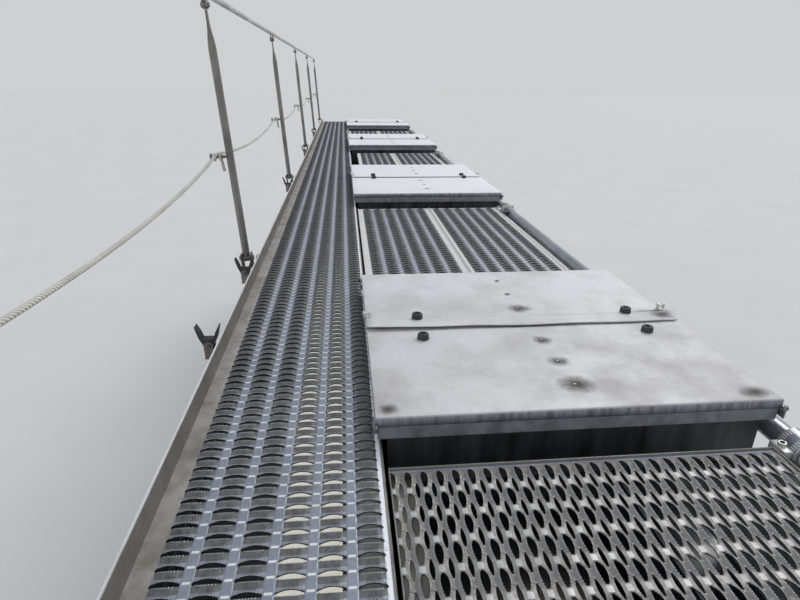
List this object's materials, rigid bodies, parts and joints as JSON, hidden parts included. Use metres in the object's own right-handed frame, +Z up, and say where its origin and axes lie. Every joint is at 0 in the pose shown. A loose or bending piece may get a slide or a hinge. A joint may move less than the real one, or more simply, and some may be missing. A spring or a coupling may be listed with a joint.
{
  "type": "tanker semi-trailer",
  "caption": "Tank semi-trailer with a grated top walkway, hinged manhole covers, a folding handrail, rolling wheels and landing legs.",
  "frame": {"origin": "ground level under the middle of the trailer's length and width", "axes": "+X towards the tractor, +Y to the left, +Z up"},
  "size_m": [12.2, 2.51, 4.4949],
  "materials": {
    "tank_skin": "brushed sheet, dull",
    "tread_alloy": "pressed tread, weathered",
    "leaf_alloy": "weathered sheet",
    "plain_alloy": "mill finish, dirty",
    "rail_alloy": "weathered tube",
    "pipe_alloy": "tube, worn",
    "bracket_steel": "dull",
    "black_rubber": "matt",
    "frame_paint": "satin",
    "kingpin_steel": "greased",
    "leg_paint": "satin",
    "fender_plastic": "grained",
    "box_steel": "brushed",
    "lamp_red": "clear",
    "tyre_rubber": "worn",
    "rim_alloy": "machined",
    "rope_fibre": "laid fibre"
  },
  "bodies": {
    "trailer": {"tank_shell": "tank_skin", "walkway": "tread_alloy", "gratings": "tread_alloy", "deck_frame": "plain_alloy", "spill_boxes": "plain_alloy", "manhole_lids": "plain_alloy", "rail_feet": "bracket_steel", "fork_plates": "bracket_steel", "rail_forks": "black_rubber", "vapour_pipe": "pipe_alloy", "pipe_brackets": "plain_alloy", "chassis": "frame_paint", "cross_members": "frame_paint", "kingpin_plate": "kingpin_steel", "landing_legs": "leg_paint", "axle_beams": "leg_paint", "suspension": "leg_paint", "fender_l": "fender_plastic", "fender_r": "fender_plastic", "hose_tubes": "pipe_alloy", "tube_saddles": "plain_alloy", "side_guards": "plain_alloy", "loading_pipes": "pipe_alloy", "toolbox": "box_steel", "bumper": "frame_paint", "rear_lamps": "lamp_red", "ladder": "plain_alloy", "front_panel": "frame_paint"},
    "wheel_l1": {"tyre_l1": "tyre_rubber", "rim_l1": "rim_alloy"},
    "wheel_l2": {"tyre_l2": "tyre_rubber", "rim_l2": "rim_alloy"},
    "wheel_l3": {"tyre_l3": "tyre_rubber", "rim_l3": "rim_alloy"},
    "wheel_r1": {"tyre_r1": "tyre_rubber", "rim_r1": "rim_alloy"},
    "wheel_r2": {"tyre_r2": "tyre_rubber", "rim_r2": "rim_alloy"},
    "wheel_r3": {"tyre_r3": "tyre_rubber", "rim_r3": "rim_alloy"},
    "lid_c1_far": {"leaf_c1_far": "leaf_alloy"},
    "lid_c1_near": {"leaf_c1_near": "leaf_alloy"},
    "lid_c2_far": {"leaf_c2_far": "leaf_alloy"},
    "lid_c2_near": {"leaf_c2_near": "leaf_alloy"},
    "lid_c3_far": {"leaf_c3_far": "leaf_alloy"},
    "lid_c3_near": {"leaf_c3_near": "leaf_alloy"},
    "lid_c4_far": {"leaf_c4_far": "leaf_alloy"},
    "lid_c4_near": {"leaf_c4_near": "leaf_alloy"},
    "rail_post_0": {"post_0": "rail_alloy"},
    "rail_post_1": {"post_1": "rail_alloy"},
    "rail_post_2": {"post_2": "rail_alloy"},
    "rail_post_3": {"post_3": "rail_alloy"},
    "rail_post_4": {"post_4": "rail_alloy"},
    "rail_post_5": {"post_5": "rail_alloy"},
    "hand_rail": {"top_rail": "rail_alloy", "rail_lugs": "bracket_steel"},
    "rope_line": {"rope": "rope_fibre"},
    "box_door": {"toolbox_door": "box_steel"}
  },
  "joints": [
    {"name": "wheel_l1_spin", "type": "hinge", "parent": "trailer", "child": "wheel_l1", "pos_m": [-4.06, 1.05, 0.525], "axis": [0, 1, 0], "continuous": true},
    {"name": "wheel_l2_spin", "type": "hinge", "parent": "trailer", "child": "wheel_l2", "pos_m": [-2.75, 1.05, 0.525], "axis": [0, 1, 0], "continuous": true},
    {"name": "wheel_l3_spin", "type": "hinge", "parent": "trailer", "child": "wheel_l3", "pos_m": [-1.44, 1.05, 0.525], "axis": [0, 1, 0], "continuous": true},
    {"name": "wheel_r1_spin", "type": "hinge", "parent": "trailer", "child": "wheel_r1", "pos_m": [-4.06, -1.05, 0.525], "axis": [0, 1, 0], "continuous": true},
    {"name": "wheel_r2_spin", "type": "hinge", "parent": "trailer", "child": "wheel_r2", "pos_m": [-2.75, -1.05, 0.525], "axis": [0, 1, 0], "continuous": true},
    {"name": "wheel_r3_spin", "type": "hinge", "parent": "trailer", "child": "wheel_r3", "pos_m": [-1.44, -1.05, 0.525], "axis": [0, 1, 0], "continuous": true},
    {"name": "c1_far_hinge", "type": "hinge", "parent": "trailer", "child": "lid_c1_far", "pos_m": [-3.474, -0.2305, 3.4525], "axis": [0, 1, 0], "range_deg": [0, 180]},
    {"name": "c1_near_hinge", "type": "hinge", "parent": "trailer", "child": "lid_c1_near", "pos_m": [-4.454, -0.2305, 3.4525], "axis": [0, -1, 0], "range_deg": [0, 180]},
    {"name": "c2_far_hinge", "type": "hinge", "parent": "trailer", "child": "lid_c2_far", "pos_m": [-0.588, -0.2305, 3.4525], "axis": [0, 1, 0], "range_deg": [0, 180]},
    {"name": "c2_near_hinge", "type": "hinge", "parent": "trailer", "child": "lid_c2_near", "pos_m": [-1.872, -0.2305, 3.4525], "axis": [0, -1, 0], "range_deg": [0, 180]},
    {"name": "c3_far_hinge", "type": "hinge", "parent": "trailer", "child": "lid_c3_far", "pos_m": [2.218, -0.2305, 3.4525], "axis": [0, 1, 0], "range_deg": [0, 180]},
    {"name": "c3_near_hinge", "type": "hinge", "parent": "trailer", "child": "lid_c3_near", "pos_m": [0.934, -0.2305, 3.4525], "axis": [0, -1, 0], "range_deg": [0, 180]},
    {"name": "c4_far_hinge", "type": "hinge", "parent": "trailer", "child": "lid_c4_far", "pos_m": [4.934, -0.2305, 3.4525], "axis": [0, 1, 0], "range_deg": [0, 180]},
    {"name": "c4_near_hinge", "type": "hinge", "parent": "trailer", "child": "lid_c4_near", "pos_m": [3.65, -0.2305, 3.4525], "axis": [0, -1, 0], "range_deg": [0, 180]},
    {"name": "fold_0", "type": "hinge", "parent": "trailer", "child": "rail_post_0", "pos_m": [-5.24, 0.768, 3.454], "axis": [0, -0.9982, 0.0607], "range_deg": [0, 90]},
    {"name": "fold_1", "type": "hinge", "parent": "trailer", "child": "rail_post_1", "pos_m": [-3.15, 0.768, 3.454], "axis": [0, -0.9982, 0.0607], "range_deg": [0, 90]},
    {"name": "fold_2", "type": "hinge", "parent": "trailer", "child": "rail_post_2", "pos_m": [-1.06, 0.768, 3.454], "axis": [0, -0.9982, 0.0607], "range_deg": [0, 90]},
    {"name": "fold_3", "type": "hinge", "parent": "trailer", "child": "rail_post_3", "pos_m": [1.03, 0.768, 3.454], "axis": [0, -0.9982, 0.0607], "range_deg": [0, 90]},
    {"name": "fold_4", "type": "hinge", "parent": "trailer", "child": "rail_post_4", "pos_m": [3.12, 0.768, 3.454], "axis": [0, -0.9982, 0.0607], "range_deg": [0, 90]},
    {"name": "fold_5", "type": "hinge", "parent": "trailer", "child": "rail_post_5", "pos_m": [5.21, 0.768, 3.454], "axis": [0, -0.9982, 0.0607], "range_deg": [0, 90]},
    {"name": "rail_level", "type": "hinge", "parent": "rail_post_2", "child": "hand_rail", "pos_m": [-1.06, 0.828, 4.44], "axis": [0, -0.9982, 0.0607], "range_deg": [-90, 0]},
    {"name": "rope_level", "type": "hinge", "parent": "rail_post_2", "child": "rope_line", "pos_m": [-1.06, 0.84445, 3.88716], "axis": [0, -0.9982, 0.0607], "range_deg": [-90, 0]},
    {"name": "box_door_hinge", "type": "hinge", "parent": "trailer", "child": "box_door", "pos_m": [1.788, 1.246, 0.78], "axis": [0, 0, -1], "range_deg": [0, 110]}
  ],
  "couplings": [
    {"joint": "c1_near_hinge", "follows": "c1_far_hinge", "ratio": 1},
    {"joint": "c2_near_hinge", "follows": "c2_far_hinge", "ratio": 1},
    {"joint": "c3_near_hinge", "follows": "c3_far_hinge", "ratio": 1},
    {"joint": "c4_near_hinge", "follows": "c4_far_hinge", "ratio": 1},
    {"joint": "fold_0", "follows": "fold_2", "ratio": 1},
    {"joint": "fold_1", "follows": "fold_2", "ratio": 1},
    {"joint": "fold_3", "follows": "fold_2", "ratio": 1},
    {"joint": "fold_4", "follows": "fold_2", "ratio": 1},
    {"joint": "fold_5", "follows": "fold_2", "ratio": 1},
    {"joint": "rail_level", "follows": "fold_2", "ratio": -1},
    {"joint": "rope_level", "follows": "fold_2", "ratio": -1}
  ]
}
